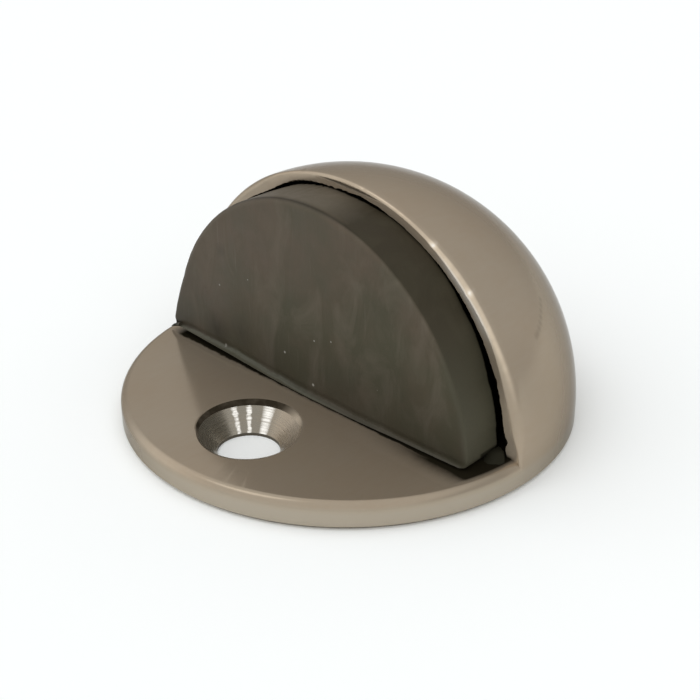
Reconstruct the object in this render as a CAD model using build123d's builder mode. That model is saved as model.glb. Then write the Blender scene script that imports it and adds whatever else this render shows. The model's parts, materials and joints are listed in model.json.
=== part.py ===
from build123d import *
import os
from math import radians, sqrt, tan

# Half moon door stop: a die-cast floor plate that rises at the back into half a dome, and a
# moulded rubber buffer that pushes into the dome's open front. The foot of the plate is at z = 0,
# its centre is the origin, and the door meets the rubber from -Y.
# Sizes are in millimetres. "Ahead" means towards -Y, where the screw hole is.

# Casting, outside
diameter = 45.0  # of the plate and of the dome
skirt = 1.5  # straight wall between the floor and the round of the dome
base_thickness = 2.75
foot_chamfer = 0.4  # edge of the plate on the floor
base_edge_radius = 0.8  # top edge of the plate in front of the dome
dome_front = 1.0  # cut face of the dome, ahead of the centre
dome_edge_radius = 0.5  # between the dome and its cut face

# Casting, recess for the rubber and hollow underside
lip_foot = 1.5  # lip round the recess, where it stands on the plate
lip_crown = 1.05  # the same lip at the top of the dome
recess_depth = 4.0
web_thickness = 2.0  # wall between the recess and the hollow
dome_wall = 2.2  # over the hollow

# Countersunk fixing hole in the plate
screw_ahead = 13.4
screw_hole_diameter = 6.0
screw_head_diameter = 10.0
countersink_angle = 90.0
screw_land = 0.3  # straight wall left under the countersink

# Rubber buffer
buffer_projection = 4.5  # face of the rubber, ahead of the dome's cut face
face_half_width = 19.9
face_foot_gap = 0.35  # under the lower edge of the face, above the plate
face_crown_drop = 0.25  # top of the face, below the top of the recess
mouth_gap_foot = 1.45  # between rubber and lip beside the plate
mouth_gap_crown = 0.08  # between rubber and lip at the top
seat_clearance = 0.1  # round the flange, under the rubber and round the stem
flange_thickness = 2.0
buffer_corner_radius = 0.5
buffer_edge = 0.3  # sloped edge round the face

# Stem of the buffer, pushed through the web
stem_height = 11.0  # axis above the floor
stem_hole_diameter = 6.0
stem_head_diameter = 8.4
stem_tip_diameter = 4.6
stem_head_length = 4.0

# Places worked out from the sizes, as distances ahead of the centre or heights above the floor
radius = diameter / 2
web_front = dome_front - recess_depth
web_back = web_front - web_thickness
hollow_radius = radius - dome_wall
hollow_crown = skirt + hollow_radius
buffer_front = dome_front + buffer_projection

cut_half_width = sqrt(radius**2 - dome_front**2)
cut_crown = skirt + cut_half_width
recess_half_width = cut_half_width - lip_foot
recess_crown = cut_crown - lip_crown

countersink_depth = (screw_head_diameter - screw_hole_diameter) / 2 / tan(radians(countersink_angle / 2))
head_seat = screw_land + countersink_depth

buffer_foot = base_thickness + seat_clearance


def half_moon(ahead, half_width, foot, crown, corner_radius=0.0):
    """Upright half moon on a straight foot, facing -Y, at a distance ahead of the centre."""
    with BuildSketch(Plane.XZ.offset(ahead)) as outline:
        with BuildLine():
            Line((-half_width, foot), (half_width, foot))
            ThreePointArc((half_width, foot), (0, crown), (-half_width, foot))
        make_face()
        if corner_radius:
            fillet(outline.vertices(), corner_radius)
    return outline.sketch


# Hollow under the dome, behind the web: the core that leaves it in the casting
with BuildPart() as hollow:
    with BuildSketch(Plane.XZ):
        with BuildLine():
            Polyline((0, hollow_crown), (0, 0), (hollow_radius, 0), (hollow_radius, skirt))
            CenterArc((0, skirt), hollow_radius, start_angle=0, arc_size=90)
        make_face()
    revolve(axis=Axis.Z)
    split(bisect_by=Plane.XZ.offset(web_back), keep=Keep.BOTTOM)

# Die-cast body: plate, half dome, recess, hollow underside and holes in one piece
with BuildPart() as body:
    # Dome: its plan where the skirt ends goes down as the skirt, and its right half turns over the top
    with BuildSketch(Plane.XY.offset(skirt)) as dome_plan:
        Circle(radius)
        with Locations((0, -dome_front)):
            Rectangle(diameter, diameter, align=(Align.CENTER, Align.MAX), mode=Mode.SUBTRACT)
        fillet(dome_plan.vertices(), dome_edge_radius)
    extrude(amount=foot_chamfer - skirt)
    with BuildSketch(Plane.XY.offset(skirt)):
        add(dome_plan.sketch_local)
        split(bisect_by=Plane.YZ)
    revolve(axis=Axis((0, 0, skirt), (0, -1, 0)), revolution_arc=180)

    # Plate
    with BuildSketch(Plane.XZ) as plate_profile:
        Rectangle(radius, base_thickness, align=(Align.MIN, Align.MIN))
        fillet(plate_profile.vertices().sort_by(Axis.X)[-2:].sort_by(Axis.Y)[-1], base_edge_radius)
        chamfer(plate_profile.vertices().sort_by(Axis.X)[-2:].sort_by(Axis.Y)[0], foot_chamfer)
    revolve(axis=Axis.Z)

    extrude(
        half_moon(dome_front, recess_half_width, base_thickness, recess_crown),
        amount=-recess_depth,
        mode=Mode.SUBTRACT,
    )
    add(hollow.part, mode=Mode.SUBTRACT)

    with BuildSketch(Plane.XZ.offset(web_front)):
        with Locations((0, stem_height)):
            Circle(stem_hole_diameter / 2)
    extrude(amount=-web_thickness, mode=Mode.SUBTRACT)

    with Locations((0, -screw_ahead, head_seat)):
        CounterSinkHole(
            screw_hole_diameter / 2,
            screw_head_diameter / 2,
            counter_sink_angle=countersink_angle,
        )

# Rubber buffer: flange on the web, straight neck in the recess, tapered pad and stem in one piece
mouth = (recess_half_width - mouth_gap_foot, buffer_foot, recess_crown - mouth_gap_crown)
shoulder = (face_half_width, base_thickness + face_foot_gap, recess_crown - face_crown_drop)
face = (shoulder[0] - buffer_edge, shoulder[1] + buffer_edge, shoulder[2] - buffer_edge)

with BuildPart() as rubber_buffer:
    extrude(
        half_moon(
            web_front,
            recess_half_width - seat_clearance,
            buffer_foot,
            recess_crown - seat_clearance,
        ),
        amount=flange_thickness,
    )
    extrude(half_moon(web_front, *mouth, buffer_corner_radius), amount=recess_depth)
    loft(
        [
            half_moon(dome_front, *mouth, buffer_corner_radius),
            half_moon(buffer_front - buffer_edge, *shoulder, buffer_corner_radius),
            half_moon(buffer_front, *face, buffer_corner_radius),
        ],
        ruled=True,
    )

    with BuildSketch(Plane.XZ.offset(web_front)):
        with Locations((0, stem_height)):
            Circle(stem_hole_diameter / 2 - seat_clearance)
    extrude(amount=-web_thickness)
    with BuildSketch(Plane.XZ.offset(web_back)):
        with Locations((0, stem_height)):
            Circle(stem_head_diameter / 2)
    with BuildSketch(Plane.XZ.offset(web_back - stem_head_length)):
        with Locations((0, stem_height)):
            Circle(stem_tip_diameter / 2)
    loft()

body.part.label = "body"
rubber_buffer.part.label = "rubber_buffer"

os.makedirs("parts", exist_ok=True)
export_step(body.part, "parts/body.step")
export_step(rubber_buffer.part, "parts/rubber_buffer.step")
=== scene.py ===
import json
from math import acos, asin, cos, exp, pi, radians, sin, sqrt

import bmesh
import bpy
from mathutils import Matrix, Vector, noise


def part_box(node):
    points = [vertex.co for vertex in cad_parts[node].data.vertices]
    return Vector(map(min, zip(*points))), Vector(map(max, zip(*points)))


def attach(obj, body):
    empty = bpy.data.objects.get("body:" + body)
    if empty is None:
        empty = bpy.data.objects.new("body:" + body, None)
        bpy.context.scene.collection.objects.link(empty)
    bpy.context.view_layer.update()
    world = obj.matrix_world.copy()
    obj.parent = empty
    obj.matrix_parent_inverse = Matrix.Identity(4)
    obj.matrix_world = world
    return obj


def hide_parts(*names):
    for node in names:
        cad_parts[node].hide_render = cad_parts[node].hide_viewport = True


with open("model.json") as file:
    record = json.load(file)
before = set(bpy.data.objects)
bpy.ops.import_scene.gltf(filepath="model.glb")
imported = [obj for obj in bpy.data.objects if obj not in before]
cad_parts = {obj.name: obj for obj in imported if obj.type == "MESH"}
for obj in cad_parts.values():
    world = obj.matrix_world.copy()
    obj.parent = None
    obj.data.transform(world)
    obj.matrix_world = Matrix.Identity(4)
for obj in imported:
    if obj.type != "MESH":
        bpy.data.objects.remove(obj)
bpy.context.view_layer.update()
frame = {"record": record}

# Half moon door stop: a satin nickel casting and a moulded rubber buffer. Meshes are made in
# millimetres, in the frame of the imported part, and brought to metres when they are finished.
MM = 0.001

# Sizes from the frame, in millimetres
screw_mount = next(mount for mount in frame["record"]["mounts"] if mount["name"] == "screw_hole")
SCREW = Vector(screw_mount["pos_m"]) / MM
SCREW_RADIUS = screw_mount["dims"]["r_mm"]
RADIUS = (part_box("body")[1] / MM).x
FACE_FRONT, STEM_END = ((corner / MM).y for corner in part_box("rubber_buffer"))

# Casting, in millimetres
SKIRT = 1.5  # straight wall under the round of the dome
PLATE_TOP = 2.75
FOOT_CHAMFER = 0.4
PLATE_EDGE = 0.8  # radius of the plate's top edge
DOME_FRONT = -0.72  # cut face of the dome, as it is seen
DOME_EDGE = 0.30  # radius between the dome and its cut face, at the top
DOME_EDGE_WORN = 0.60  # the same where it is rubbed rounder, on the right and far left
LIP_FOOT = 1.5  # lip round the recess, beside the plate
LIP_CROWN = 1.05  # the same lip at the top
LIP_BREAK = 0.14  # broken inner edge of the lip
WEB_FRONT = 3.0
WEB_BACK = 5.0
DOME_WALL = 2.2
STEM_HEIGHT = 11.0
STEM_HOLE = 3.0  # radius
PLATE_TUCK = 0.28  # how far the plate's piece reaches behind the cut face
OVERCUT = 0.5  # how far a cutter reaches past the faces that it opens
CUT_HALF_WIDTH = sqrt(RADIUS**2 - DOME_FRONT**2)
RECESS_HALF_WIDTH = CUT_HALF_WIDTH - LIP_FOOT
RECESS_CROWN = SKIRT + CUT_HALF_WIDTH - LIP_CROWN
# Mouth of the recess, from inside out: distance behind the cut face, and how far the wall flares
MOUTH = (
    (0.72, 0.0), (0.45, 0.0), (0.22, 0.01), (0.10, 0.04), (0.03, 0.09), (-0.01, LIP_BREAK),
    (-0.2, LIP_BREAK + 0.2),
)
MOUTH_WEAR = 0.5  # how far behind the cut face the wall is chipped and uneven
CAST, CUT, DARK_RING = range(3)  # order of the casting's materials
BODY_SHARP = 32  # edges of the casting that turn by more degrees than this stay sharp

# Points that the casting's round forms are made of
EDGE_POINTS = 12
DOME_ROWS = 70
ARCH_POINTS = 300
RECESS_POINTS = 420

# Countersink: a cast lip, then a cone that was cut a little off its centre
LIP_RADIUS = 5.05
LIP_SHIFT = Vector((-0.12, 0.34))
LIP_ROLL = 0.16  # rolled edge where the lip meets the plate
LIP_FLARE = 1.0  # how much wider the lip is worn on its right front side
CONE_TOP = 2.45
CONE_RADIUS = 4.76
CONE_SHIFT = Vector((0.20, -0.05))
CONE_LAND = 0.3
TOOL_MARKS = 24
TOOL_MARK_DEPTH = 0.005
CHATTER = 0.018  # unevenness round the cone, left by the cutter
# Painted highlight streaks down the cone: angle round the hole and half width, in degrees
CONE_STREAKS = ((155.5, 2.2), (137.0, 2.1), (111.0, 4.6))
DARK_RING_MIDDLE = 158.0  # middle of the dark ring under the lip, as an angle round the hole

# Nicks in the dome's edge: angle along it in degrees, radius and depth
EDGE_NICKS = (
    (59.5, 0.40, 0.09), (45.5, 0.45, 0.10), (83.0, 0.30, 0.04), (104.0, 0.40, 0.05), (71.0, 0.25, 0.03),
)
GLINT_DEPTH = 0.08  # nicks deeper than this show bare metal, with a painted highlight
GLINT_NICKS = [angle for angle, _, depth in EDGE_NICKS if depth > GLINT_DEPTH]
NICK_ROW = 7  # row of points along the edge that the nicks lie on
WORN_ROWS = 20  # last row of points that wear reaches
DOME_MIDDLE = Vector((0, 4, SKIRT))  # point that nicks are pushed towards
# Chips in the inner edge of the lip: angle, width in degrees, depth
LIP_CHIPS = (
    (4.0, 1.5, -0.20), (6.8, 1.3, 0.22), (9.5, 5.5, -0.24), (18.0, 15.0, -0.28), (23.0, 1.2, 0.12),
    (47.5, 3.0, 0.04), (77.5, 3.5, 0.06), (91.5, 5.0, -0.15), (105.0, 4.0, 0.12), (119.5, 6.5, -0.36),
)
TORN_MIDDLE = 97  # angle over the recess where its edge and the rubber's are torn most
TORN_WIDTH = 18
# Groove torn along the face of the lip: angles of its ends, half width and depth
LIP_GROOVE_START = 76.0
LIP_GROOVE_END = 98.5
LIP_GROOVE_WIDTH = 0.16
LIP_GROOVE_DEPTH = 0.10

# Rubber buffer, in millimetres
FACE_HALF_WIDTH = 19.9
FACE_CROWN_DROP = 0.25
FACE_EDGE = 0.55  # soft edge round the face
FACE_BULGE = 0.20
GROOVE_FOOT = 1.2  # step in the pad behind the dome's cut face, beside the plate
GROOVE_CROWN = 0.35  # the same at the top
GROOVE_ROUND = 0.35  # length of the round from that step to the mouth
MOUTH_GAP_FOOT = 1.45
MOUTH_GAP_CROWN = 0.08
# Gap between the pad and the wall of the recess, as it is seen: angle over the recess and width
SEEN_GAPS = (
    (0, 1.30), (8, 1.35), (14, 1.18), (20, 1.10), (23, 1.18), (26, 1.00), (29, 0.86), (32, 0.76),
    (35, 0.62), (38.5, 0.54), (41.5, 0.60), (45, 0.42), (48, 0.26), (52, 0.15), (58, 0.08), (63, 0.06),
    (67, 0.08), (72, 0.07), (76, 0.16), (80, 0.26), (86, 0.34), (90, 0.30), (95, 0.22), (100, 0.22),
    (106, 0.24), (111, 0.36), (116, 0.48), (120, 0.50), (125, 0.38), (131, 0.16), (150, 0.14),
    (168, 0.31), (180, 0.51),
)
SEAT_CLEARANCE = 0.1
BUFFER_CORNER = 0.5
FLANGE = 2.0
NECK_LIFT = 0.03  # the neck's foot above the flange's
STEM_HEAD = 4.2  # radius
STEM_TIP = 2.3  # radius
HEAD_ROUND = 0.25
PAD_FOOT = PLATE_TOP + SEAT_CLEARANCE
PAD_FLOOR = PLATE_TOP + 0.04  # lowest that the uneven pad comes to the plate
SIDE_END = FACE_FRONT + FACE_EDGE  # where the pad's side turns into the soft edge of its face
FACE_MIDDLE = PLATE_TOP + 7.0  # height of the point that the face closes on
FOOT_GAP_LEFT = 0.66  # under the face's lower edge, above the plate
FOOT_GAP_MIDDLE = 0.12
FOOT_GAP_RIGHT = 0.24
LEFT_FLARE = 0.95  # spread of the pad's left foot
LEFT_FLARE_START = 4  # height up to which it is full
LEFT_FLARE_HEIGHT = 5.5
RUBBER_SHARP = 38  # edges of the rubber that turn by more degrees than this stay sharp
FLASH_REACH = 0.30  # moulding flash along the face's lower edge
# Height of that flash along the edge: x and height
FLASH_HEIGHTS = (
    (-20.0, 0.30), (-16.0, 0.55), (-11.0, 0.80), (-5.0, 0.62), (0.0, 0.42), (8.0, 0.28), (20.0, 0.20),
)
# Lump of flash on the plate beside the right foot: outline as (x, y), height, and how far it leans
FLAP = (
    (19.3, -2.1), (19.8, -2.65), (20.3, -2.75), (20.7, -2.5), (20.85, -2.3), (21.2, -2.1), (21.3, -1.6),
    (20.9, -1.15), (20.5, -1.0), (20.0, -0.7), (19.4, -0.6),
)
FLAP_TOP = 0.75
FLAP_LEAN = Vector((-0.15, 0.7))
# Levels of that lump: share of its height, and of its outline
FLAP_LEVELS = ((0.04, 1.0), (0.2, 0.97), (0.45, 0.85), (0.7, 0.70), (0.9, 0.52), (1.0, 0.36))
FLAP_START = 18.6  # x
# Nib of flash at the left foot: x, height and radius
NIB = ((-19.5, 3.75, 0.30), (-20.1, 3.52, 0.25), (-20.6, 3.28, 0.18), (-21.0, 3.04, 0.07))
NIB_SET_BACK = 0.12
NIB_FLATNESS = 0.8
NIB_START = -19.7  # x
FLASH_SHADOW = 0.72  # darkness of the lump and the nib

# Marks on the casting, in millimetres
PLATE_RIM = 22.0  # distance from the plate's middle where its edge turns down
RIM_SHINE = (-1.8, -22.0, 2.4)  # part of that edge left at its brightest, without the painted shade
RIM_SHINE_RADIUS = 7.0
# Faint dark smear on the dome's right side: places along it
DOME_SMEAR = (
    (16.61, 8.60, 14.00), (17.06, 8.14, 13.70), (17.49, 7.65, 13.41), (17.90, 7.13, 13.12),
    (18.28, 6.59, 12.84), (18.62, 6.04, 12.60), (18.88, 5.50, 12.43), (19.05, 5.06, 12.35),
)
SMEAR_RADIUS = 0.45
SMEAR_STRENGTH = 0.20
DOME_DARKER = (20.9, 1.7, 9.0)  # darker part of the dome, low on its right side
DARKER_RADIUS = 5.5
DARKER_STRENGTH = 0.22
TOUCH = 0.01  # a point this close to a face counts as on it

# Marks on the rubber's face
# Dust: x, height and radius
DUST_SPECKS = (
    (-12.69, 10.59, 0.10), (-3.18, 6.52, 0.11), (0.96, 9.24, 0.08), (3.27, 9.98, 0.08), (0.69, 4.35, 0.13),
    (7.8, 3.4, 0.09), (-12.25, 3.95, 0.16), (-8.3, 12.6, 0.06), (9.2, 7.1, 0.06),
)
# Dark marks: x, height, radius and strength
DARK_MARKS = (
    (-15.02, 9.45, 0.22, 0.5), (-14.88, 9.10, 0.20, 0.5), (-13.4, 5.2, 2.4, 0.55), (-9.6, 6.2, 2.2, 0.30),
    (-4.0, 5.2, 3.5, 0.15), (5.0, 5.6, 4.0, 0.10), (-12.2, 14.5, 0.9, 0.25), (12.0, 8.0, 4.5, 0.10),
)

# Camera, fitted to the outlines of the plate, dome and rubber in the photograph
IMAGE_SIDE = 700.0  # pixels
FOCAL_LENGTH = 1455.0  # pixels
SENSOR = 36.0
CAMERA_AZIMUTH = radians(44.937)
CAMERA_ELEVATION = radians(28.111)
CAMERA_ROLL = radians(-0.471)
CAMERA_DISTANCE = 146.2 * MM
AIM_RIGHT = 0.197 * MM
AIM_UP = 5.115 * MM

# Studio light, as scene radiance; each edge is the cosine where a glow starts and is full
SKY_BACK = 0.615
SKY_FRONT = 1.16
SKY_TINT = (1, 0.995, 0.985)
FRONT_DIRECTION = (0.0, -0.8, 0.6)
FRONT_EDGE = (-0.03, 0.45)
KEY_LIGHT = 1.3
KEY_DIRECTION = (-0.30, -0.33, 0.90)
KEY_EDGE = (0.955, 1.0)
HORIZON = 0.08
DOWN = (0, 0, -1)
HORIZON_EDGE = (-0.45, 0.0)
FLOOR_SIDE = 3.0  # metres from the middle to an edge
FLOOR_COLOUR = (0.958, 0.985, 0.993)

# Colours as seen in the photograph
NICKEL = (0.385, 0.325, 0.250)
NICKEL_WARM = (0.370, 0.300, 0.222)
NICKEL_LIT_SIDE = (0.400, 0.365, 0.300)
NICKEL_GLINT = (0.24, 0.22, 0.20)
DARK_NICKEL = (0.16, 0.14, 0.11)
WORN_EDGE_HIGHLIGHT = (0.58, 0.49, 0.375)
CUT_METAL = (0.33, 0.30, 0.25)
CUT_WARM = (0.30, 0.25, 0.19)
CUT_SHADE = (0.15, 0.14, 0.115)
CUT_LIT = (0.46, 0.43, 0.36)
HIGHLIGHT_WHITE = (0.95, 0.93, 0.88)
DARK_BROWN = (0.030, 0.024, 0.016)
RUBBER = (0.072, 0.054, 0.035)
RUBBER_GREEN = (0.050, 0.046, 0.027)
RUBBER_PALE = (0.108, 0.091, 0.067)
RUBBER_FLASH_LIT = (0.070, 0.070, 0.050)
RUBBER_SHADED_SIDE = (0.030, 0.025, 0.015)
RUBBER_LOW_LIT = (0.064, 0.060, 0.040)
DUST = (0.30, 0.29, 0.26)
GRIME_AND_SHADE = (0.012, 0.010, 0.006)
BLACK = (0.002, 0.002, 0.001)

# Mesh cleaning, in millimetres
SAME_POINT = 1e-5
NO_WIDTH = 1e-4  # faces thinner than this are removed
SMALL_FACE = 60  # area under which a many-sided face is cut into triangles


def make_camera():
    back = Vector((
        sin(CAMERA_AZIMUTH) * cos(CAMERA_ELEVATION),
        -cos(CAMERA_AZIMUTH) * cos(CAMERA_ELEVATION),
        sin(CAMERA_ELEVATION),
    ))
    right = Vector((cos(CAMERA_AZIMUTH), sin(CAMERA_AZIMUTH), 0))
    up = back.cross(right)
    target = right * AIM_RIGHT + up * AIM_UP
    rolled_right = right * cos(CAMERA_ROLL) + up * sin(CAMERA_ROLL)
    rolled_up = back.cross(rolled_right)
    data = bpy.data.cameras.new("photo_camera")
    data.sensor_width = SENSOR
    data.lens = FOCAL_LENGTH / IMAGE_SIDE * SENSOR
    data.clip_start = CAMERA_DISTANCE * 0.05
    camera = bpy.data.objects.new("photo_camera", data)
    turn = Matrix((rolled_right, rolled_up, back)).transposed().to_4x4()
    camera.matrix_world = Matrix.Translation(target + back * CAMERA_DISTANCE) @ turn
    bpy.context.collection.objects.link(camera)
    bpy.context.scene.camera = camera


class Shader:
    """A node material, with short calls for the nodes that the finishes use."""

    def __init__(self, name):
        self.material = bpy.data.materials.new(name)
        self.material.use_nodes = True
        self.tree = self.material.node_tree
        self.bsdf = self.tree.nodes["Principled BSDF"]
        self.place = self.tree.nodes.new("ShaderNodeTexCoord").outputs["Object"]

    def set(self, **values):
        for name, value in values.items():
            self.bsdf.inputs[name.replace("_", " ")].default_value = value

    def link(self, output, name):
        self.tree.links.new(output, self.bsdf.inputs[name])

    def node(self, kind, inputs, **settings):
        node = self.tree.nodes.new(kind)
        for name, value in settings.items():
            setattr(node, name, value)
        for key, value in inputs.items():
            if isinstance(value, bpy.types.NodeSocket):
                self.tree.links.new(value, node.inputs[key])
            else:
                node.inputs[key].default_value = value
        return node

    def vector(self, operation, *inputs):
        """Result of a vector operation: a number for a length, a distance or a dot product."""
        kind = "Value" if operation in ("LENGTH", "DISTANCE", "DOT_PRODUCT") else "Vector"
        return self.node("ShaderNodeVectorMath", dict(enumerate(inputs)), operation=operation).outputs[kind]

    def math(self, operation, a, b):
        return self.node("ShaderNodeMath", {0: a, 1: b}, operation=operation).outputs["Value"]

    def times(self, a, b):
        return self.math("MULTIPLY", a, b)

    def remap(self, value, low, high, to_low=0.0, to_high=1.0):
        inputs = {"Value": value, "From Min": low, "From Max": high, "To Min": to_low, "To Max": to_high}
        return self.node("ShaderNodeMapRange", inputs).outputs["Result"]

    def opposite(self, value):
        return self.remap(value, 0.0, 1.0, 1.0, 0.0)

    def mix(self, factor, a, b):
        inputs = {0: factor}
        for key, colour in ((6, a), (7, b)):
            inputs[key] = colour if isinstance(colour, bpy.types.NodeSocket) else (*colour, 1)
        return self.node("ShaderNodeMix", inputs, data_type="RGBA").outputs[2]

    def bump(self, height, depth_mm, strength=1.0, under=None):
        inputs = {"Height": height, "Distance": depth_mm * MM, "Strength": strength}
        if under:
            inputs["Normal"] = under
        return self.node("ShaderNodeBump", inputs).outputs["Normal"]

    def attribute(self, name):
        return self.node("ShaderNodeAttribute", {}, attribute_name=name).outputs["Fac"]

    def axis(self, name):
        return self.node("ShaderNodeSeparateXYZ", {"Vector": self.place}).outputs[name]

    def along(self, axis, start_mm, end_mm, to_start=0.0, to_end=1.0):
        """Ramp between two places on an axis."""
        return self.remap(self.axis(axis), start_mm * MM, end_mm * MM, to_start, to_end)

    def level(self, vector):
        return self.vector("MULTIPLY", vector, (1, 1, 0))

    def near(self, point_mm, radius_mm, softness=0.4):
        """1 close to a point, falling to 0 at a radius."""
        away = self.vector("DISTANCE", self.place, Vector(point_mm) * MM)
        return self.remap(away, radius_mm * MM, radius_mm * (1 - softness) * MM)

    def from_hole(self):
        """Level offset from the axis of the screw hole."""
        return self.level(self.vector("SUBTRACT", self.place, (SCREW.x * MM, SCREW.y * MM, 0)))

    def towards(self, offset, angle, full, none, uneven=0.0):
        """1 within an angle of a bearing round the screw hole, falling to 0 at a wider one; in degrees."""
        bearing = (cos(radians(angle)), sin(radians(angle)), 0)
        along = self.vector("DOT_PRODUCT", self.vector("NORMALIZE", offset), bearing)
        return self.remap(self.math("ADD", along, uneven), cos(radians(none)), cos(radians(full)))

    def stretch(self, scale, rotation=(0, 0, 0)):
        inputs = {"Vector": self.place, "Scale": scale, "Rotation": rotation}
        return self.node("ShaderNodeMapping", inputs).outputs["Vector"]

    def noise(self, per_mm, detail=3.0, roughness=0.5, vector=None, distortion=0.0):
        inputs = {
            "Vector": vector or self.place,
            "Scale": per_mm / MM,
            "Detail": detail,
            "Roughness": roughness,
            "Distortion": distortion,
        }
        return self.node("ShaderNodeTexNoise", inputs).outputs["Fac"]


def make_world():
    """Soft light all round: brighter in front, with a small glow overhead and a pale horizon."""
    world = bpy.data.worlds.new("studio")
    world.use_nodes = True
    tree = world.node_tree
    background = tree.nodes["Background"]
    direction = tree.nodes.new("ShaderNodeTexCoord").outputs["Generated"]

    def glow(towards, edge, low, high):
        along = tree.nodes.new("ShaderNodeVectorMath")
        along.operation = "DOT_PRODUCT"
        along.inputs[1].default_value = Vector(towards).normalized()
        tree.links.new(direction, along.inputs[0])
        light = tree.nodes.new("ShaderNodeMapRange")
        light.interpolation_type = "SMOOTHSTEP"
        tree.links.new(along.outputs["Value"], light.inputs["Value"])
        for key, value in zip(("From Min", "From Max", "To Min", "To Max"), (*edge, low, high)):
            light.inputs[key].default_value = value
        return light.outputs["Result"]

    strength = glow(FRONT_DIRECTION, FRONT_EDGE, SKY_BACK, SKY_FRONT)
    for light in (glow(KEY_DIRECTION, KEY_EDGE, 0.0, KEY_LIGHT), glow(DOWN, HORIZON_EDGE, 0.0, HORIZON)):
        total = tree.nodes.new("ShaderNodeMath")
        tree.links.new(strength, total.inputs[0])
        tree.links.new(light, total.inputs[1])
        strength = total.outputs["Value"]
    tree.links.new(strength, background.inputs["Strength"])
    background.inputs["Color"].default_value = (*SKY_TINT, 1)
    bpy.context.scene.world = world
    bpy.context.scene.view_settings.view_transform = "Standard"


def make_floor():
    side = FLOOR_SIDE
    corners = [(-side, -side, 0), (side, -side, 0), (side, side, 0), (-side, side, 0)]
    mesh = bpy.data.meshes.new("floor")
    mesh.from_pydata(corners, [], [(0, 1, 2, 3)])
    floor = bpy.data.objects.new("floor", mesh)
    bpy.context.collection.objects.link(floor)
    shader = Shader("pale_floor")
    shader.set(Base_Color=(*FLOOR_COLOUR, 1), Roughness=0.8, Specular_IOR_Level=0.1)
    mesh.materials.append(shader.material)


def plate_shade_and_grime(shader, reach):
    """Painted shadow and reflection of the rubber on the plate, partly dirt: under it, and in the corner in
    front of its right foot.
    """
    ragged = shader.times(shader.noise(1.1, detail=4.0), 0.5 * MM)
    edge = shader.math("ADD", shader.axis("Y"), ragged)
    under_rubber = shader.remap(edge, (FACE_FRONT - 0.30) * MM, (FACE_FRONT + 0.10) * MM)
    corner = shader.remap(edge, (FACE_FRONT - 2.6) * MM, (FACE_FRONT - 0.2) * MM)
    corner = shader.times(corner, shader.along("X", 4.0, 16.0))
    shade_and_grime = shader.math("MAXIMUM", under_rubber, corner)
    on_plate = shader.along("Z", PLATE_TOP + 0.6, PLATE_TOP + 0.1)
    inside_rim = shader.remap(reach, PLATE_RIM * MM, 21.35 * MM)
    left_end = shader.along("X", -20.9, -19.2)
    before_web = shader.along("Y", WEB_BACK - 1.0, WEB_BACK - 1.5)
    for limit in (on_plate, inside_rim, left_end, before_web):
        shade_and_grime = shader.times(shade_and_grime, limit)
    return shade_and_grime


def rim_shade(shader, reach):
    """Painted shade on the front of the plate's rounded edge, which dims its reflection away from its
    brightest part.
    """
    rim = shader.times(shader.remap(reach, 21.7 * MM, PLATE_RIM * MM), shader.along("Z", 1.9, 2.25))
    rim = shader.times(rim, shader.along("Y", -0.6, -3.0, 0.0, 0.30))
    return shader.times(rim, shader.opposite(shader.near(RIM_SHINE, RIM_SHINE_RADIUS, 0.8)))


def nickel():
    shader = Shader("satin_nickel")
    cloud = shader.noise(0.09, detail=4.0)
    grain = shader.noise(9.0, detail=2.0)
    streaks = shader.noise(2.2, detail=4.0, vector=shader.stretch((1.0, 0.22, 1.0)))
    tint = shader.math("ADD", shader.times(cloud, 0.7), shader.times(streaks, 0.3))
    colour = shader.mix(shader.remap(tint, 0.35, 0.65), NICKEL, NICKEL_WARM)
    reach = shader.vector("LENGTH", shader.level(shader.place))
    # painted shade on the front of the plate's rounded edge
    colour = shader.mix(rim_shade(shader, reach), colour, DARK_NICKEL)
    # painted light: the plate's upright side is lighter
    lit_plate_side = shader.along("Z", 2.3, 1.6, 0.0, 0.6)
    colour = shader.mix(lit_plate_side, colour, NICKEL_LIT_SIDE)
    darker = shader.times(shader.near(DOME_DARKER, DARKER_RADIUS, 0.9), DARKER_STRENGTH)
    colour = shader.mix(darker, colour, DARK_NICKEL)
    for place in DOME_SMEAR:
        smear = shader.times(shader.near(place, SMEAR_RADIUS, 0.9), SMEAR_STRENGTH)
        colour = shader.mix(smear, colour, DARK_BROWN)
    # painted highlight along the dome's front edge, partly rubbed plating
    colour = shader.mix(shader.attribute("worn"), colour, WORN_EDGE_HIGHLIGHT)
    # painted highlight in the deeper nicks, partly bare metal, and painted light on the lip beside them
    colour = shader.mix(shader.attribute("nicked"), colour, HIGHLIGHT_WHITE)
    # painted shadow and reflection of the rubber on the plate, partly dirt, and painted shade in the
    # recess, partly dull casting
    shade_and_grime = shader.math("MAXIMUM", plate_shade_and_grime(shader, reach), shader.attribute("recess"))
    shader.link(shader.mix(shade_and_grime, colour, GRIME_AND_SHADE), "Base Color")
    shader.link(shader.remap(shade_and_grime, 0.0, 1.0, 0.60, 0.0), "Metallic")
    shader.link(shader.remap(shade_and_grime, 0.0, 0.9, 0.5, 0.0), "Specular IOR Level")
    rough = shader.math("ADD", shader.times(cloud, 0.5), shader.times(streaks, 0.5))
    shader.link(shader.remap(rough, 0.3, 0.7, 0.14, 0.22), "Roughness")
    shader.link(shader.bump(grain, 0.0012), "Normal")
    shader.set(Specular_Tint=(*NICKEL_GLINT, 1))
    return shader.material


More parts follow.
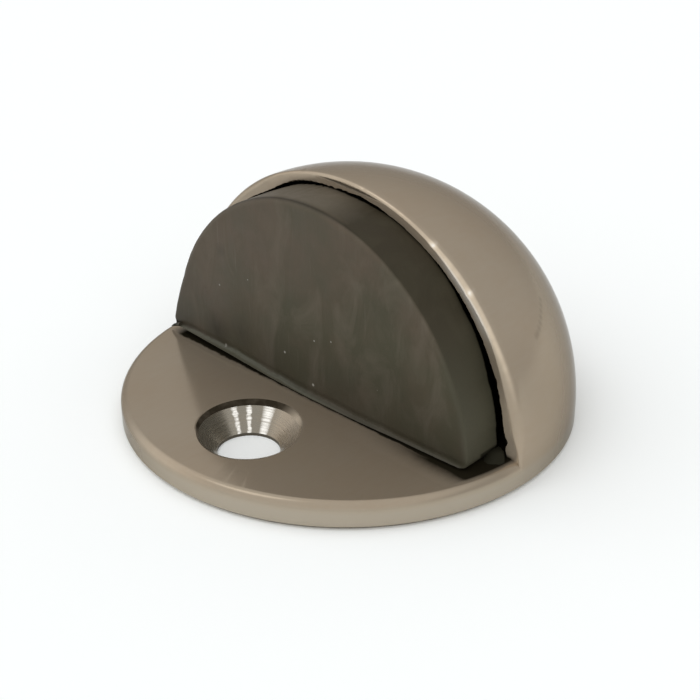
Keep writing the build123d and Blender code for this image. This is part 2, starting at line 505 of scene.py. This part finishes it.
def machined_metal():
    shader = Shader("machined_cone")
    offset = shader.from_hole()
    radius = shader.vector("LENGTH", offset)
    inputs = {"W": radius, "Scale": 9.0 / MM, "Detail": 3.0, "Roughness": 0.65}
    rings = shader.node("ShaderNodeTexNoise", inputs, noise_dimensions="1D").outputs["Fac"]
    wear = shader.noise(0.9, detail=3.0)
    colour = shader.mix(shader.remap(wear, 0.45, 0.75, 0.0, 0.5), CUT_METAL, NICKEL)
    warm_side = shader.towards(offset, 52, 30, 75)
    colour = shader.mix(shader.times(warm_side, 0.85), colour, CUT_WARM)
    colour = shader.mix(shader.remap(rings, 0.30, 0.55, 0.45, 0.0), colour, NICKEL_WARM)
    # painted shade on one side of the cone, by its bearing round the hole
    shaded_side = shader.towards(offset, 134, 24, 42)
    colour = shader.mix(shader.times(shaded_side, 0.62), colour, CUT_SHADE)
    # painted light on another side of the cone
    lit_side = shader.towards(offset, 205, 20, 55)
    colour = shader.mix(shader.times(lit_side, 0.5), colour, CUT_LIT)
    broken = shader.remap(rings, 0.25, 0.60, 0.25, 1.0)
    torn = shader.times(shader.math("SUBTRACT", shader.noise(3.2, detail=3.0), 0.5), 0.007)
    # painted highlight streaks down the cone
    for angle, width in CONE_STREAKS:
        streak = shader.towards(offset, angle, width * 0.4, width * 1.9, torn)
        colour = shader.mix(shader.times(streak, broken), colour, HIGHLIGHT_WHITE)
    shader.link(colour, "Base Color")
    shader.link(shader.remap(rings, 0.3, 0.7, 0.20, 0.32), "Roughness")
    shader.link(shader.bump(rings, 0.012), "Normal")
    shader.set(Metallic=0.85)
    return shader.material


def dark_lip():
    shader = Shader("dark_countersink_lip")
    wear = shader.noise(0.8, detail=3.0)
    left = shader.towards(shader.from_hole(), DARK_RING_MIDDLE, 62, 92)
    dark = shader.times(left, shader.remap(wear, 0.70, 0.45, 0.9, 1.0))
    shader.link(shader.remap(dark, 0.0, 0.9, 0.5, 0.0), "Specular IOR Level")
    shader.link(shader.mix(dark, NICKEL, DARK_BROWN), "Base Color")
    shader.link(shader.remap(dark, 0.0, 1.0, 0.66, 0.1), "Metallic")
    shader.link(shader.remap(dark, 0.0, 1.0, 0.22, 0.60), "Roughness")
    shader.set(Specular_Tint=(*NICKEL_GLINT, 1))
    return shader.material


def rubber_face(shader, patches, smears):
    """Blotchy brown and green rubber with pale smears and scratches, and painted shade darker towards the
    plate.
    """
    higher = shader.along("Z", 4.0, 20.0, -0.10, 0.12)
    further_left = shader.along("X", -14.0, 14.0, 0.08, -0.10)
    browner = shader.math("ADD", patches, shader.math("ADD", higher, further_left))
    colour = shader.mix(shader.remap(browner, 0.36, 0.64), RUBBER_GREEN, RUBBER)
    blotches = shader.noise(0.55, detail=3.0, roughness=0.6)
    colour = shader.mix(shader.remap(blotches, 0.40, 0.70, 0.0, 0.30), colour, RUBBER_GREEN)
    colour = shader.mix(shader.remap(smears, 0.48, 0.74, 0.0, 0.65), colour, RUBBER_PALE)
    slanted = shader.stretch((1.0, 1.0, 0.08), (0, radians(24), 0))
    scratches = shader.noise(2.6, detail=3.0, vector=slanted)
    colour = shader.mix(shader.remap(scratches, 0.66, 0.80, 0.0, 0.35), colour, RUBBER_PALE)
    # painted shade, darker towards the plate
    return shader.mix(shader.along("Z", 3.0, 11.0, 0.42, 0.0), colour, GRIME_AND_SHADE)


def rubber_side(shader, smears, right):
    """Side of the pad: pale on the left, painted shade on the right, and painted lighter and greener low
    down.
    """
    colour = shader.mix(right, RUBBER_PALE, RUBBER_SHADED_SIDE)
    colour = shader.mix(shader.remap(smears, 0.45, 0.75, 0.0, 0.35), colour, RUBBER_GREEN)
    return shader.mix(shader.along("Z", 17.0, 7.0), colour, RUBBER_LOW_LIT)


def rubber():
    shader = Shader("dark_rubber")
    patches = shader.noise(0.12, detail=4.0, roughness=0.55)
    upright = shader.stretch((1.0, 1.0, 0.45))
    smears = shader.noise(0.30, detail=5.0, roughness=0.6, vector=upright, distortion=0.8)
    uneven = shader.times(shader.math("SUBTRACT", patches, 0.5), 9.0 * MM)
    right = shader.remap(shader.math("ADD", shader.axis("X"), uneven), 0.5 * MM, 5.5 * MM)
    side = shader.along("Y", FACE_FRONT + 0.35, FACE_FRONT + 1.1)
    turned = shader.along("Y", FACE_FRONT + 0.22, FACE_FRONT + 0.42)
    side = shader.math("MAXIMUM", side, shader.times(turned, right))
    colour = rubber_face(shader, patches, smears)
    colour = shader.mix(shader.times(side, 0.85), colour, rubber_side(shader, smears, right))
    # painted shade along the crease behind the face's top edge, mostly on the left
    crease = shader.times(
        shader.along("Y", FACE_FRONT + 0.12, FACE_FRONT + 0.40),
        shader.along("Y", FACE_FRONT + 0.75, FACE_FRONT + 0.45),
    )
    crease = shader.times(crease, shader.along("X", 7.0, 2.0, 0.0, 0.6))
    colour = shader.mix(crease, colour, GRIME_AND_SHADE)
    for x, z, size, strength in DARK_MARKS:
        mark = shader.times(shader.near((x, FACE_FRONT, z), size, 0.9), strength)
        colour = shader.mix(mark, colour, GRIME_AND_SHADE)
    # painted light on the moulding flash
    colour = shader.mix(shader.times(shader.attribute("lit_flash"), 0.75), colour, RUBBER_FLASH_LIT)
    shadowed = shader.attribute("shadowed")
    colour = shader.mix(shadowed, colour, BLACK)
    for x, z, size in DUST_SPECKS:
        colour = shader.mix(shader.near((x, FACE_FRONT, z), size * 1.5, 0.8), colour, DUST)
    shader.link(colour, "Base Color")
    shader.link(shader.remap(smears, 0.35, 0.7, 0.52, 0.68), "Roughness")
    gloss = shader.remap(turned, 0.0, 1.0, 0.28, 0.13)
    shader.link(shader.times(gloss, shader.opposite(shadowed)), "Specular IOR Level")
    under = shader.bump(smears, 0.04)
    grain = shader.noise(7.0, detail=3.0)
    shader.link(shader.bump(grain, 0.006, under=under), "Normal")
    return shader.material


def ring_solid(name, rings, materials, material_at=None):
    """Closed mesh object through rings of equally many points, with a face over each end."""
    bm = bmesh.new()
    loops = [[bm.verts.new(point) for point in ring] for ring in rings]
    for row, (a, b) in enumerate(zip(loops, loops[1:])):
        for i in range(len(a)):
            j = (i + 1) % len(a)
            face = bm.faces.new((a[i], a[j], b[j], b[i]))
            if material_at:
                face.material_index = material_at(row)
    bm.faces.new(reversed(loops[0]))
    bm.faces.new(loops[-1])
    bmesh.ops.remove_doubles(bm, verts=bm.verts, dist=SAME_POINT)
    bmesh.ops.recalc_face_normals(bm, faces=bm.faces)
    mesh = bpy.data.meshes.new(name)
    bm.to_mesh(mesh)
    bm.free()
    for material in materials:
        mesh.materials.append(material)
    obj = bpy.data.objects.new(name, mesh)
    bpy.context.collection.objects.link(obj)
    return obj


def combine(target, tool, operation):
    """Adds or takes away a solid for good, cleans the mesh of faces without area, and removes the tool."""
    modifier = target.modifiers.new("combine", "BOOLEAN")
    modifier.object = tool
    modifier.operation = operation
    modifier.solver = "EXACT"
    evaluated = target.evaluated_get(bpy.context.evaluated_depsgraph_get())
    mesh = bpy.data.meshes.new_from_object(evaluated)
    bm = bmesh.new()
    bm.from_mesh(mesh)
    small = [face for face in bm.faces if len(face.verts) > 4 and face.calc_area() < SMALL_FACE]
    bmesh.ops.triangulate(bm, faces=small)
    bmesh.ops.dissolve_degenerate(bm, edges=bm.edges, dist=NO_WIDTH)
    bm.to_mesh(mesh)
    bm.free()
    target.modifiers.clear()
    target.data = mesh
    bpy.data.objects.remove(tool)


def paint(piece, name, value_at):
    """Stores a value for each point of a piece, for its finish to read."""
    layer = piece.data.attributes.new(name, "FLOAT", "POINT")
    for vertex, mark in zip(piece.data.vertices, layer.data):
        mark.value = value_at(*vertex.co)


def finish_piece(piece, node, sharp_angle):
    """Brings a piece to metres, smooths it up to an angle, and puts it in place of its node."""
    mesh = piece.data
    mesh.transform(Matrix.Scale(MM, 4))
    mesh.polygons.foreach_set("use_smooth", [True] * len(mesh.polygons))
    mesh.set_sharp_from_angle(angle=radians(sharp_angle))
    weighted = piece.modifiers.new("flat_faces", "WEIGHTED_NORMAL")
    weighted.weight = 100
    weighted.keep_sharp = True
    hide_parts(node)
    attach(piece, "root")


def steps(start, end, count):
    return [start + (end - start) * i / count for i in range(count + 1)]


def full_turn(points):
    """Angles round a circle."""
    return steps(0, 2 * pi, points)[:-1]


def smooth_step(t):
    t = min(max(t, 0.0), 1.0)
    return t * t * (3 - 2 * t)


def ripple(x, y, z=0.0):
    """Smooth unevenness between about -1 and 1."""
    return noise.noise(Vector((x, y, z)))


def over(x, z, centre):
    """Distance from a centre at a height above the origin, and angle over it from the right, in degrees."""
    reach = sqrt(x * x + (z - centre) ** 2)
    return reach, acos(max(-1.0, min(1.0, x / reach))) * 180 / pi


def rows_around(table, place):
    """The two rows of a table that a place lies between."""
    return next(pair for pair in zip(table, table[1:]) if place <= pair[1][0])


def near_crown(angle):
    """1 at the top of the recess, a little to the left, where its edge is torn; falls to 0 at the sides."""
    return exp(-((angle - TORN_MIDDLE) / TORN_WIDTH) ** 2)


def arch_ring(half, y, foot_level, chamfer, points):
    """Upright arch in a plane of constant y: half a turn over the skirt, then legs down to the floor."""
    ring = [(half * cos(u), y, SKIRT + half * sin(u)) for u in steps(0, pi, points)]
    narrow = 1 - chamfer / RADIUS
    back = y * narrow if y > 0 else y
    ring.append((-half, y, foot_level + chamfer))
    ring.append((-half * narrow, back, foot_level))
    ring.append((half * narrow, back, foot_level))
    ring.append((half, y, foot_level + chamfer))
    return ring


def stem_ring(radius, y, points):
    """Circle about the axis of the rubber's stem."""
    return [(radius * cos(a), y, STEM_HEIGHT + radius * sin(a)) for a in full_turn(points)]


def arc_circle(half_width, foot, crown):
    """Radius and centre height of the round top of a half moon."""
    rise = crown - foot
    radius = (half_width**2 + rise**2) / (2 * rise)
    return radius, crown - radius


def half_moon_arc(half_width, foot, crown, points):
    """Round top of a half moon, from its right foot over the crown to its left foot, as (x, z, angle)."""
    radius, centre = arc_circle(half_width, foot, crown)
    start = asin((foot - centre) / radius)
    return [(radius * cos(a), centre + radius * sin(a), a) for a in steps(start, pi - start, points)]


RECESS_RADIUS, RECESS_CENTRE = arc_circle(RECESS_HALF_WIDTH, PLATE_TOP, RECESS_CROWN)


def dome_profile(edge):
    """Half width and y of the dome's rows, from its cut face round the edge to the back."""
    edge_y = DOME_FRONT + edge
    edge_half = sqrt((RADIUS - edge) ** 2 - edge_y**2)
    turn = acos(-edge_y / (RADIUS - edge))
    points = [(edge_half + edge * sin(a), edge_y - edge * cos(a)) for a in steps(0, turn, EDGE_POINTS)]
    start = asin(edge_y / (RADIUS - edge))
    return points + [(RADIUS * cos(a), RADIUS * sin(a)) for a in steps(start, pi / 2, DOME_ROWS)[1:]]


def edge_rubbed(angle):
    """How far the dome's edge is rubbed rounder: on the right above the foot, and far left."""
    low_right = 0.9 * smooth_step((64 - angle) / 16) + 1.7 * smooth_step((36 - angle) / 16)
    far_left = 1.5 * smooth_step((angle - 112) / 12)
    return low_right * smooth_step((angle - 3.0) / 9) + far_left * smooth_step((176 - angle) / 7)


def nicked(place, nicks):
    """Moves a point of the dome's edge inwards where it is close to a nick."""
    inward = (DOME_MIDDLE - place).normalized()
    for nick, size, depth in nicks:
        place += inward * depth * exp(-((place - nick).length / size * 1.6) ** 2)
    return place


def dome_solid(materials):
    nick_half, nick_y = dome_profile(DOME_EDGE)[NICK_ROW]
    nicks = []
    for angle, size, depth in EDGE_NICKS:
        u = radians(angle)
        nicks.append((Vector((nick_half * cos(u), nick_y, SKIRT + nick_half * sin(u))), size, depth))
    rings = []
    for row, (crisp, worn) in enumerate(zip(dome_profile(DOME_EDGE), dome_profile(DOME_EDGE_WORN))):
        ring = arch_ring(*crisp, 0, FOOT_CHAMFER, ARCH_POINTS)
        if row <= WORN_ROWS:
            for i, point in enumerate(arch_ring(*worn, 0, FOOT_CHAMFER, ARCH_POINTS)):
                rubbed = edge_rubbed(180 * i / ARCH_POINTS)
                ring[i] = nicked(Vector(ring[i]).lerp(Vector(point), rubbed), nicks)
        rings.append(ring)
    return ring_solid("cast_body", rings, materials)


def plate_solid(materials):
    back = DOME_FRONT + PLATE_TUCK
    edge_r, edge_z = RADIUS - PLATE_EDGE, PLATE_TOP - PLATE_EDGE
    profile = [(RADIUS - FOOT_CHAMFER, 0), (RADIUS, FOOT_CHAMFER)]
    for a in steps(0, pi / 2, EDGE_POINTS):
        profile.append((edge_r + PLATE_EDGE * cos(a), edge_z + PLATE_EDGE * sin(a)))
    rings = []
    for r, z in profile:
        tuck = asin(-back / r)
        rings.append([(r * cos(a), r * sin(a), z) for a in steps(-pi + tuck, -tuck, ARCH_POINTS)])
    return ring_solid("plate", rings, materials)


def lip_wear(a):
    """How far the inner edge of the lip is worn back, at an angle over the recess."""
    degrees_over = a * 180 / pi
    torn = 0.05 + 0.08 * near_crown(degrees_over)
    uneven = 0.07 * ripple(a * 14, 3.1, 0.4) + torn * ripple(a * 47, 7.7, 0.9)
    chips = sum(depth * exp(-((degrees_over - angle) / width) ** 2) for angle, width, depth in LIP_CHIPS)
    return uneven + chips


def recess_solid(materials):
    rings = []
    for y, flare in [(WEB_FRONT, 0.0)] + [(DOME_FRONT + behind, flare) for behind, flare in MOUTH]:
        near_mouth = max(0.0, 1 - (y - DOME_FRONT) / MOUTH_WEAR)
        ring = []
        for x, z, a in half_moon_arc(RECESS_HALF_WIDTH, PLATE_TOP, RECESS_CROWN, RECESS_POINTS):
            grow = flare + near_mouth * lip_wear(a)
            ring.append((x + grow * cos(a), y, max(PLATE_TOP, z + grow * sin(a))))
        rings.append(ring)
    return ring_solid("recess", rings, materials)


def lip_groove_solid(materials):
    rings = []
    for t in steps(0, 1, 60):
        u = radians(LIP_GROOVE_START + (LIP_GROOVE_END - LIP_GROOVE_START) * t)
        swell = sin(pi * t) ** 0.6 + 0.03
        half = CUT_HALF_WIDTH - 0.30 - 0.22 * sin(pi * t) + 0.03 * ripple(t * 17, 2.2)
        width = LIP_GROOVE_WIDTH * swell * (1 + 0.4 * ripple(t * 23, 8.1))
        ring = []
        for b in full_turn(12):
            reach = half + width * cos(b)
            y = DOME_FRONT + LIP_GROOVE_DEPTH * swell * sin(b)
            ring.append((reach * cos(u), y, SKIRT + reach * sin(u)))
        rings.append(ring)
    return ring_solid("lip_groove", rings, materials)


def hollow_solid(materials):
    radius = RADIUS - DOME_WALL
    rings = []
    for a in steps(asin(WEB_BACK / radius), pi / 2, 36):
        rings.append(arch_ring(radius * cos(a), radius * sin(a), foot_level=-1.0, chamfer=0, points=120))
    return ring_solid("hollow", rings, materials)


def stem_hole_solid(materials):
    rings = [stem_ring(STEM_HOLE, y, 64) for y in (WEB_FRONT - OVERCUT, WEB_BACK + OVERCUT)]
    return ring_solid("stem_hole", rings, materials)


def countersink_rows():
    """Rows of the cutter for the fixing hole, from the top: height, radius, shift and material below."""
    rows = [
        (PLATE_TOP + OVERCUT, LIP_RADIUS + OVERCUT, LIP_SHIFT, DARK_RING),
        (PLATE_TOP, LIP_RADIUS + LIP_ROLL, LIP_SHIFT, CAST),
        (PLATE_TOP - 0.004, LIP_RADIUS, LIP_SHIFT, DARK_RING),
    ]
    for t in steps(0, 1, 6)[1:-1]:
        rows.append((
            PLATE_TOP + (CONE_TOP - PLATE_TOP) * t,
            LIP_RADIUS + (CONE_RADIUS - LIP_RADIUS) * t**0.7,
            LIP_SHIFT.lerp(CONE_SHIFT, t),
            DARK_RING,
        ))
    rows.append((CONE_TOP, CONE_RADIUS, CONE_SHIFT, CUT))
    for t in steps(0, 1, TOOL_MARKS * 4)[1:-1]:
        uneven = 0.6 + 0.8 * ripple(t * 31, 1.7, 5.0)
        mark = TOOL_MARK_DEPTH * sin(2 * pi * t * TOOL_MARKS) * uneven
        rows.append((
            CONE_TOP + (CONE_LAND - CONE_TOP) * t,
            CONE_RADIUS + (SCREW_RADIUS - CONE_RADIUS) * t + mark * (1 - t**6),
            CONE_SHIFT * (1 - t),
            CUT,
        ))
    rows.append((CONE_LAND, SCREW_RADIUS, Vector((0, 0)), CAST))
    rows.append((-OVERCUT, SCREW_RADIUS, Vector((0, 0)), CAST))
    return rows


def countersink_solid(materials):
    rows = countersink_rows()
    rings = []
    for z, r, shift, kind in rows:
        x, y = SCREW.x + shift.x, SCREW.y + shift.y
        down = min(max((CONE_TOP - z) / (CONE_TOP - CONE_LAND), 0.0), 1.0)
        under_lip = smooth_step((PLATE_TOP - z) / (PLATE_TOP - CONE_TOP))
        ring = []
        for a in full_turn(240):
            lobes = ripple(3.4 * cos(a), 3.4 * sin(a), 0.3) + 0.5 * sin(9 * a + 0.6)
            rough = r + CHATTER * lobes * (4 * down * (1 - down)) ** 0.3 if kind == CUT else r
            worn_side = max(0.0, cos(a + pi / 4)) ** 2
            rough += LIP_FLARE * worn_side * (1 - 0.75 * under_lip) * (1 - down)
            ring.append((x + rough * cos(a), y + rough * sin(a), z))
        rings.append(ring)
    return ring_solid("countersink", rings, materials, lambda row: rows[row][3])


def lip_foot(x, y, z):
    """1 on the face of the lip beside its right foot, falling to 0 further up."""
    half, angle = over(x, z, SKIRT)
    on_face = abs(y - DOME_FRONT) <= TOUCH and z >= PLATE_TOP + 0.02
    if x < 0 or not on_face or half < CUT_HALF_WIDTH - 2.5:
        return 0.0
    return smooth_step((26 - angle) / 12)


def edge_highlight_and_wear(x, y, z):
    """Painted highlight, partly plating rubbed bright, along the dome's front edge, mostly on the right,
    and painted light on the lip's foot.
    """
    foot = lip_foot(x, y, z)
    if z < PLATE_TOP + 1.0 or not DOME_FRONT - TOUCH < y < DOME_FRONT + 2.0:
        return foot
    half, angle = over(x, z, SKIRT)
    across = ((half - CUT_HALF_WIDTH + 0.14) / 0.22) ** 2 + (max(0.0, y - DOME_FRONT - 0.2) / 0.32) ** 2
    along = smooth_step((angle - 14) / 18) * (0.3 + 0.7 * smooth_step((70 - angle) / 14))
    along *= smooth_step((116 - angle) / 22)
    patchy = 0.62 + 0.45 * ripple(angle * 0.11, 1.3) + 0.3 * exp(-((angle - 52) / 14) ** 2)
    patchy += 0.35 * ripple(angle * 0.7, 4.1)
    bright_nicks = sum(exp(-((angle - nick) / 1.1) ** 2) for nick in GLINT_NICKS)
    return min(1.0, max(along * exp(-across) * (patchy + 0.6 * bright_nicks), foot))


def nick_highlight(x, y, z):
    """Painted highlight, partly bare metal, in the two deeper nicks of the dome's edge, and painted light
    on the lip beside them.
    """
    if z < PLATE_TOP + 1.0 or not DOME_FRONT - TOUCH < y < DOME_FRONT + 0.8:
        return 0.0
    half, angle = over(x, z, SKIRT)
    across = ((half - CUT_HALF_WIDTH + 0.16) / 0.11) ** 2
    nicks = 0.75 * sum(exp(-((angle - nick) / 0.5) ** 2 - across) for nick in GLINT_NICKS)
    on_lip = half > CUT_HALF_WIDTH - 0.75 and y < DOME_FRONT + 0.2
    rubbed = smooth_step((60 - angle) / 10) * smooth_step((angle - 30) / 10)
    rubbed *= exp(-((y - DOME_FRONT) / 0.08) ** 2)
    return max(nicks, 0.40 * rubbed if on_lip else 0.0)


def recess_shade_and_grime(x, y, z):
    """Painted shade, partly dull dark casting, in the recess, the groove along the lip and the wall of the
    screw hole; painted reflection of the rubber on the lip's face.
    """
    if sqrt((x - SCREW.x) ** 2 + (y - SCREW.y) ** 2) < SCREW_RADIUS + 0.05 and z < CONE_LAND + 0.02:
        return 0.75
    half, angle = over(x, z, SKIRT)
    depth = y - DOME_FRONT
    beside_groove = LIP_GROOVE_START < angle < LIP_GROOVE_END and z > PLATE_TOP + 0.3
    if beside_groove and 0.2 < CUT_HALF_WIDTH - half < 0.78 and TOUCH < depth < LIP_GROOVE_DEPTH * 1.1:
        return 0.8 * min(1.0, depth / LIP_GROOVE_DEPTH * 1.4)
    if half > CUT_HALF_WIDTH - 0.45 or y > WEB_FRONT + TOUCH or z < PLATE_TOP - TOUCH:
        return 0.0
    if depth < 0.02:
        if z < PLATE_TOP + 0.3 or beside_groove:
            return 0.0
        return 0.40 * smooth_step((angle - 55) / 12) * (1 - 0.6 * smooth_step((angle - 106) / 14))
    if over(x, z, RECESS_CENTRE)[0] > RECESS_RADIUS + 0.28:
        return 0.0
    return smooth_step((depth - 0.02) / 0.18)


def make_body():
    materials = (nickel(), machined_metal(), dark_lip())
    body = dome_solid(materials)
    combine(body, plate_solid(materials), "UNION")
    for cutter in (recess_solid, lip_groove_solid, hollow_solid, stem_hole_solid, countersink_solid):
        combine(body, cutter(materials), "DIFFERENCE")
    paint(body, "worn", edge_highlight_and_wear)
    paint(body, "nicked", nick_highlight)
    paint(body, "recess", recess_shade_and_grime)
    finish_piece(body, "body", BODY_SHARP)


def foot_gap(x):
    """Height of the face's lower edge above the plate: the moulding doesn't sit quite level."""
    end = FOOT_GAP_LEFT if x < 0 else FOOT_GAP_RIGHT
    return FOOT_GAP_MIDDLE + (end - FOOT_GAP_MIDDLE) * smooth_step(abs(x) / FACE_HALF_WIDTH)


def moon_outline(half_width, foot, crown, corner):
    """Half moon outline with rounded feet, as (x, z), running from the right foot over the crown."""
    arc = half_moon_arc(half_width, foot, crown, 300)
    skip = next(i for i, (_, z, _) in enumerate(arc) if z > foot + corner * 1.3)
    top = [(x, z) for x, z, _ in arc[skip:len(arc) - skip]]
    base = half_width - corner * 1.1

    def bend(start, knee, end):
        weights = [((1 - t) ** 2, 2 * t * (1 - t), t * t) for t in steps(0, 1, 8)[1:-1]]
        return [tuple(p * a + q * k + r * b for a, k, b in zip(start, knee, end)) for p, q, r in weights]

    left_foot = bend(top[-1], (-half_width, foot), (-base, foot))
    floor = [(x, foot) for x in steps(-base, base, 160)]
    return top + left_foot + floor + bend((base, foot), (half_width, foot), top[0])


def flash_top(x):
    """Upper edge of the moulding flash, above the face's lower edge."""
    x = min(max(x, FLASH_HEIGHTS[0][0]), FLASH_HEIGHTS[-1][0])
    (x0, low), (x1, high) = rows_around(FLASH_HEIGHTS, x)
    top = low + (high - low) * smooth_step((x - x0) / (x1 - x0))
    ragged = 0.25 * ripple(x * 0.45, 2.0) + 0.18 * ripple(x * 1.9, 5.0)
    return top * (1 + ragged)


def flash_reach(x, height):
    """How far the moulding flash stands out of the face at a height above its lower edge."""
    top = flash_top(x)
    reach = FLASH_REACH * (0.55 + 0.75 * exp(-((x - 2) / 9) ** 2))
    fall = smooth_step((top - height) / 0.22)
    groove = 0.10 * exp(-((height - top - 0.2) / 0.35) ** 2)
    return reach * fall - groove


def seen_gap(angle):
    (a0, low), (a1, high) = rows_around(SEEN_GAPS, angle)
    return low + (high - low) * (angle - a0) / (a1 - a0)


def fit_to_recess(x, z, share):
    """Moves a point of the pad's outline towards its seen distance from the wall of the recess."""
    reach, angle = over(x, z, RECESS_CENTRE)
    torn = 0.03 + 0.07 * near_crown(angle)
    ragged = 0.05 * ripple(angle * 0.5, 6.0) + torn * ripple(angle * 1.7, 9.0)
    wanted = min(RECESS_RADIUS - 0.02, RECESS_RADIUS - seen_gap(angle) + ragged)
    grow = 1 + (wanted - reach) / reach * share
    return x * grow, RECESS_CENTRE + (z - RECESS_CENTRE) * grow


def between(a, b, share):
    """Section between two others."""
    return tuple(p + (q - p) * share for p, q in zip(a, b))


def pad_stations():
    """Stations from the flange to the face: y, section, and how much of the seen gap shapes it."""
    seat = (RECESS_HALF_WIDTH - SEAT_CLEARANCE, PAD_FOOT, RECESS_CROWN - SEAT_CLEARANCE)
    mouth = (RECESS_HALF_WIDTH - MOUTH_GAP_FOOT, PAD_FOOT, RECESS_CROWN - MOUTH_GAP_CROWN)
    neck = (mouth[0] - GROOVE_FOOT, PAD_FOOT + NECK_LIFT, mouth[2] - GROOVE_CROWN)
    face = (FACE_HALF_WIDTH, PAD_FOOT, RECESS_CROWN - FACE_CROWN_DROP)
    stations = [(WEB_FRONT, seat, 0), (WEB_FRONT - FLANGE, seat, 0), (WEB_FRONT - FLANGE, neck, 0)]
    for t in steps(0, 1, 6):
        share = sin(t * pi / 2)
        y = DOME_FRONT + GROOVE_ROUND - GROOVE_ROUND * (1 - cos(t * pi / 2))
        stations.append((y, between(neck, mouth, share), share))
    for t in steps(0, 1, 14)[1:]:
        y = DOME_FRONT + (SIDE_END - DOME_FRONT) * t
        stations.append((y, between(mouth, face, t), (1 - t) ** 1.5))
    for a in steps(0, pi / 2, 9)[1:]:
        inset = FACE_EDGE * (1 - cos(a))
        section = (face[0] - inset, face[1] + inset * 0.15, face[2] - inset)
        stations.append((SIDE_END - FACE_EDGE * sin(a), section, 0))
    return stations


def pad_point(x, y, z, fitted):
    """Place of a point of the pad's outline on the uneven moulding."""
    ahead = min(max((DOME_FRONT - y) / (DOME_FRONT - FACE_FRONT), 0.0), 1.0)
    height = z - PAD_FOOT
    lift = (foot_gap(x) - SEAT_CLEARANCE) * ahead * exp(-height / 2.5)
    wave = Vector((x * 0.16, y * 0.25, z * 0.16))
    wobble = 0.10 * noise.noise(wave) + 0.03 * noise.noise(Vector((x, y, z)) * 0.9)
    scale = 1 + wobble / 20 * ahead
    px = x * scale
    py = y
    pz = max(PAD_FLOOR, FACE_MIDDLE + (z + lift - FACE_MIDDLE) * scale)
    if fitted and z > PAD_FOOT + TOUCH:
        px, pz = fit_to_recess(px, pz, fitted * smooth_step(height))
    if x < 0:
        low = max(0.0, 1 - max(0.0, pz - LEFT_FLARE_START) / LEFT_FLARE_HEIGHT) ** 1.2
        px -= LEFT_FLARE * ahead * low * smooth_step(-x / 19)
    if y < SIDE_END:
        facing = smooth_step((SIDE_END - y) / FACE_EDGE)
        py += facing * (FACE_BULGE * (x / FACE_HALF_WIDTH) ** 2 + 0.06 * noise.noise(wave * 1.7))
        py -= facing * flash_reach(x, height)
    return px, py, pz


def pad_solid(materials):
    outlines = [(y, moon_outline(*section, BUFFER_CORNER), fitted) for y, section, fitted in pad_stations()]
    last = outlines[-1][1]
    # Rings over the face, closer together beside its edge, where the flash is
    for s in steps(0.006, 0.17, 24) + steps(0.20, 0.985, 26):
        smaller = [(x * (1 - s), FACE_MIDDLE + (z - FACE_MIDDLE) * (1 - s)) for x, z in last]
        outlines.append((FACE_FRONT, smaller, 0))
    rings = [[pad_point(x, y, z, fitted) for x, z in outline] for y, outline, fitted in outlines]
    return ring_solid("moulded_buffer", rings, materials)


def stem_solid(materials):
    """Stem through the web, with a mushroom head behind it."""
    shank = STEM_HOLE - SEAT_CLEARANCE
    profile = [(WEB_FRONT - 0.4, shank), (WEB_BACK, shank), (WEB_BACK, STEM_HEAD - HEAD_ROUND)]
    for a in steps(0, pi / 2, 4)[1:]:
        y = WEB_BACK + HEAD_ROUND - HEAD_ROUND * cos(a)
        profile.append((y, STEM_HEAD - HEAD_ROUND + HEAD_ROUND * sin(a)))
    profile.append((STEM_END - 0.3, STEM_TIP + 0.12))
    profile.append((STEM_END - 0.08, STEM_TIP - 0.05))
    profile.append((STEM_END, STEM_TIP - 0.35))
    return ring_solid("stem", [stem_ring(radius, y, 72) for y, radius in profile], materials)


def flap_solid(materials):
    centre = Vector((sum(x for x, _ in FLAP) / len(FLAP), sum(y for _, y in FLAP) / len(FLAP)))
    rings = []
    for share, size in FLAP_LEVELS:
        leaning = centre + FLAP_LEAN * share
        z = PLATE_TOP + FLAP_TOP * share
        rings.append([(*(leaning + (Vector(point) - centre) * size), z) for point in FLAP])
    return ring_solid("flap", rings, materials)


def nib_solid(materials):
    rings = []
    for x, z, r in NIB:
        y = FACE_FRONT + NIB_SET_BACK
        rings.append([(x, y + r * cos(a), z + NIB_FLATNESS * r * sin(a)) for a in full_turn(16)])
    return ring_solid("nib", rings, materials)


def lit_flash_mark(x, y, z):
    """Painted light on the moulding flash, paler and greener rubber, mostly on the left."""
    if y >= SIDE_END:
        return 0.0
    pale = 1 - 0.9 * smooth_step(x / 8)
    return pale * smooth_step((flash_top(x) - z + PLATE_TOP + foot_gap(x)) / 0.15)


def shadow_mark(x, y, z):
    """Painted shade on the rubber behind the dome's cut face, and on the lump and the nib of flash."""
    on_flap = x > FLAP_START and z < PLATE_TOP + FLAP_TOP + 0.05 and y > FLAP[1][1] - 0.2
    on_nib = x < NIB_START and z < NIB[0][1] + 0.1
    return FLASH_SHADOW if on_flap or on_nib else smooth_step((y - DOME_FRONT - 0.02) / 0.15)


def make_buffer():
    materials = (rubber(),)
    buffer = pad_solid(materials)
    for extra in (stem_solid, flap_solid, nib_solid):
        combine(buffer, extra(materials), "UNION")
    paint(buffer, "lit_flash", lit_flash_mark)
    paint(buffer, "shadowed", shadow_mark)
    finish_piece(buffer, "rubber_buffer", RUBBER_SHARP)


make_camera()
make_world()
make_floor()
make_body()
make_buffer()
